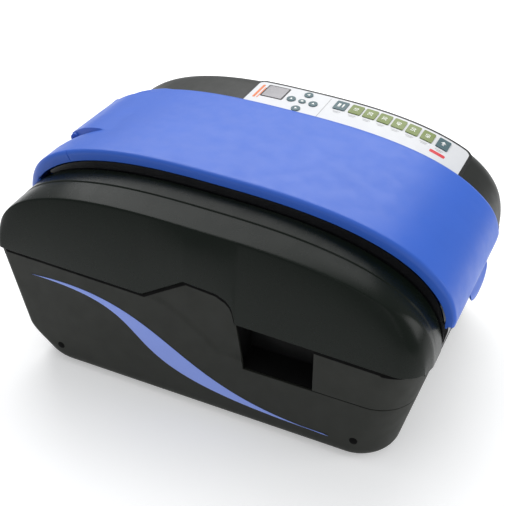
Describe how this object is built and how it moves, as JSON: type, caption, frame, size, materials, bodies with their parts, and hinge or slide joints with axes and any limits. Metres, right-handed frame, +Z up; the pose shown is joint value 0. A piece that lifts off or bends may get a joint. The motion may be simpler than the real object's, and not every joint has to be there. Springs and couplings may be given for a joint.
{
  "type": "electronic gummed tape dispenser",
  "caption": "Bench-top electronic dispenser for water-activated paper tape, with an arched hinged cover, a side recess and a keypad along the top.",
  "frame": {"origin": "on the bench under the middle of the machine's bounding box", "axes": "+X towards the operator's end, where the tape comes out; +Y towards the keypad side; +Z up"},
  "size_m": [0.4737, 0.318, 0.2538],
  "materials": {
    "dark_base": "fine textured moulding",
    "dark_cover": "satin moulding",
    "blue_cover": "satin moulding",
    "blue_inlay": "smooth film",
    "dark_house": "satin moulding",
    "black_wall": "glossy paint",
    "black_plastic": "matte",
    "black_rubber": "matte",
    "white_film": "smooth polyester film",
    "teal_key": "smooth film key",
    "green_key": "smooth film key",
    "display_glass": "smooth window",
    "board": "solder mask",
    "zinc_steel": "zinc plated sheet",
    "blade_steel": "ground edge",
    "motor_metal": "grey enamel",
    "aluminium": "machined",
    "kraft_paper": "matt paper edge",
    "core_board": "pressed board",
    "roller_rubber": "ground rubber",
    "tank_plastic": "natural moulding",
    "bottle_plastic": "translucent moulding",
    "bristle": "stiff bristle",
    "coil": "wound coil"
  },
  "bodies": {
    "case": {"base_shell": "dark_base", "chassis_plate": "zinc_steel", "rubber_feet": "black_rubber", "panel_screws": "black_plastic", "swoosh_inlay": "blue_inlay", "recess_liner": "black_plastic", "corner_panel": "dark_base", "side_cover": "dark_cover", "near_side_wall": "black_wall", "far_side_wall": "black_wall", "rear_panel": "dark_house", "front_panel": "black_wall", "hinge_bulkhead": "zinc_steel", "hinge_pins": "blade_steel", "control_housing": "dark_house", "keypad_plate": "white_film", "display_window": "display_glass", "display_module": "black_plastic", "key_membrane": "board", "roll_cradle": "black_plastic", "drive_motor": "motor_metal", "drive_belt": "black_rubber", "fixed_blade": "blade_steel", "cutter_solenoid": "coil", "water_tank": "tank_plastic", "water_brush": "bristle", "heater_plate": "aluminium", "water_bottle": "bottle_plastic", "bottle_cap": "black_plastic", "outlet_guide": "zinc_steel", "power_supply": "zinc_steel", "control_board": "board", "power_inlet": "black_plastic", "switch_housing": "black_plastic", "cover_buffer": "black_rubber"},
    "lid": {"top_cover": "blue_cover"},
    "key_up_body": {"key_up": "teal_key"},
    "key_down_body": {"key_down": "teal_key"},
    "key_left_body": {"key_left": "teal_key"},
    "key_right_body": {"key_right": "teal_key"},
    "key_enter_body": {"key_enter": "teal_key"},
    "key_double_body": {"key_double": "teal_key"},
    "key_length_1_body": {"key_length_1": "green_key"},
    "key_length_2_body": {"key_length_2": "green_key"},
    "key_length_3_body": {"key_length_3": "green_key"},
    "key_length_4_body": {"key_length_4": "green_key"},
    "key_length_5_body": {"key_length_5": "green_key"},
    "key_length_6_body": {"key_length_6": "green_key"},
    "key_repeat_body": {"key_repeat": "teal_key"},
    "roll": {"tape_roll": "kraft_paper", "roll_core": "core_board"},
    "back_cradle_roller": {"cradle_roller_back": "aluminium"},
    "front_cradle_roller": {"cradle_roller_front": "aluminium"},
    "feed": {"feed_roller": "black_rubber", "feed_pulley": "black_plastic"},
    "pressure": {"pressure_roller": "roller_rubber"},
    "motor_shaft": {"motor_pulley": "aluminium"},
    "cutter": {"shear_blade": "blade_steel"},
    "rocker": {"rocker_switch": "black_plastic"}
  },
  "joints": [
    {"name": "lid_hinge", "type": "hinge", "parent": "case", "child": "lid", "pos_m": [-0.20397, -0.002, 0.20901], "axis": [0, -1, 0], "range_deg": [0, 70]},
    {"name": "key_up_press", "type": "slide", "parent": "case", "child": "key_up_body", "axis": [-0.03, 0, -0.9996], "range_m": [0, 0.0008], "stiffness_N_per_m": 900},
    {"name": "key_down_press", "type": "slide", "parent": "case", "child": "key_down_body", "axis": [-0.0299, 0, -0.9996], "range_m": [0, 0.0008], "stiffness_N_per_m": 900},
    {"name": "key_left_press", "type": "slide", "parent": "case", "child": "key_left_body", "axis": [-0.0255, 0, -0.9997], "range_m": [0, 0.0008], "stiffness_N_per_m": 900},
    {"name": "key_right_press", "type": "slide", "parent": "case", "child": "key_right_body", "axis": [-0.0335, 0, -0.9994], "range_m": [0, 0.0008], "stiffness_N_per_m": 900},
    {"name": "key_enter_press", "type": "slide", "parent": "case", "child": "key_enter_body", "axis": [-0.0299, 0, -0.9996], "range_m": [0, 0.0008], "stiffness_N_per_m": 900},
    {"name": "key_double_press", "type": "slide", "parent": "case", "child": "key_double_body", "axis": [-0.0559, 0, -0.9984], "range_m": [0, 0.0008], "stiffness_N_per_m": 900},
    {"name": "key_length_1_press", "type": "slide", "parent": "case", "child": "key_length_1_body", "axis": [-0.0778, 0, -0.997], "range_m": [0, 0.0008], "stiffness_N_per_m": 900},
    {"name": "key_length_2_press", "type": "slide", "parent": "case", "child": "key_length_2_body", "axis": [-0.1028, 0, -0.9947], "range_m": [0, 0.0008], "stiffness_N_per_m": 900},
    {"name": "key_length_3_press", "type": "slide", "parent": "case", "child": "key_length_3_body", "axis": [-0.133, 0, -0.9911], "range_m": [0, 0.0008], "stiffness_N_per_m": 900},
    {"name": "key_length_4_press", "type": "slide", "parent": "case", "child": "key_length_4_body", "axis": [-0.1691, 0, -0.9856], "range_m": [0, 0.0008], "stiffness_N_per_m": 900},
    {"name": "key_length_5_press", "type": "slide", "parent": "case", "child": "key_length_5_body", "axis": [-0.2124, 0, -0.9772], "range_m": [0, 0.0008], "stiffness_N_per_m": 900},
    {"name": "key_length_6_press", "type": "slide", "parent": "case", "child": "key_length_6_body", "axis": [-0.265, 0, -0.9642], "range_m": [0, 0.0008], "stiffness_N_per_m": 900},
    {"name": "key_repeat_press", "type": "slide", "parent": "case", "child": "key_repeat_body", "axis": [-0.3357, 0, -0.942], "range_m": [0, 0.0008], "stiffness_N_per_m": 900},
    {"name": "roll_spin", "type": "hinge", "parent": "case", "child": "roll", "pos_m": [-0.057, -0.0215, 0.1054], "axis": [0, 1, 0], "continuous": true},
    {"name": "back_cradle_spin", "type": "hinge", "parent": "case", "child": "back_cradle_roller", "pos_m": [-0.10515, -0.0215, 0.022], "axis": [0, 1, 0], "continuous": true},
    {"name": "front_cradle_spin", "type": "hinge", "parent": "case", "child": "front_cradle_roller", "pos_m": [-0.00885, -0.0215, 0.022], "axis": [0, 1, 0], "continuous": true},
    {"name": "feed_spin", "type": "hinge", "parent": "case", "child": "feed", "pos_m": [0.108, -0.0215, 0.15], "axis": [0, 1, 0], "continuous": true},
    {"name": "pressure_spin", "type": "hinge", "parent": "case", "child": "pressure", "pos_m": [0.108, -0.0215, 0.1724], "axis": [0, 1, 0], "continuous": true},
    {"name": "motor_spin", "type": "hinge", "parent": "case", "child": "motor_shaft", "pos_m": [0.062, -0.109, 0.052], "axis": [0, 1, 0], "continuous": true},
    {"name": "cutter_stroke", "type": "slide", "parent": "case", "child": "cutter", "axis": [0, 0, 1], "range_m": [0, 0.014]},
    {"name": "rocker_tilt", "type": "hinge", "parent": "case", "child": "rocker", "pos_m": [-0.108, 0.153, 0.042], "axis": [1, 0, 0], "range_deg": [-8, 8]}
  ],
  "couplings": [
    {"joint": "back_cradle_spin", "follows": "roll_spin", "ratio": -11},
    {"joint": "front_cradle_spin", "follows": "roll_spin", "ratio": -11},
    {"joint": "pressure_spin", "follows": "feed_spin", "ratio": -1.2},
    {"joint": "motor_spin", "follows": "feed_spin", "ratio": 2}
  ]
}
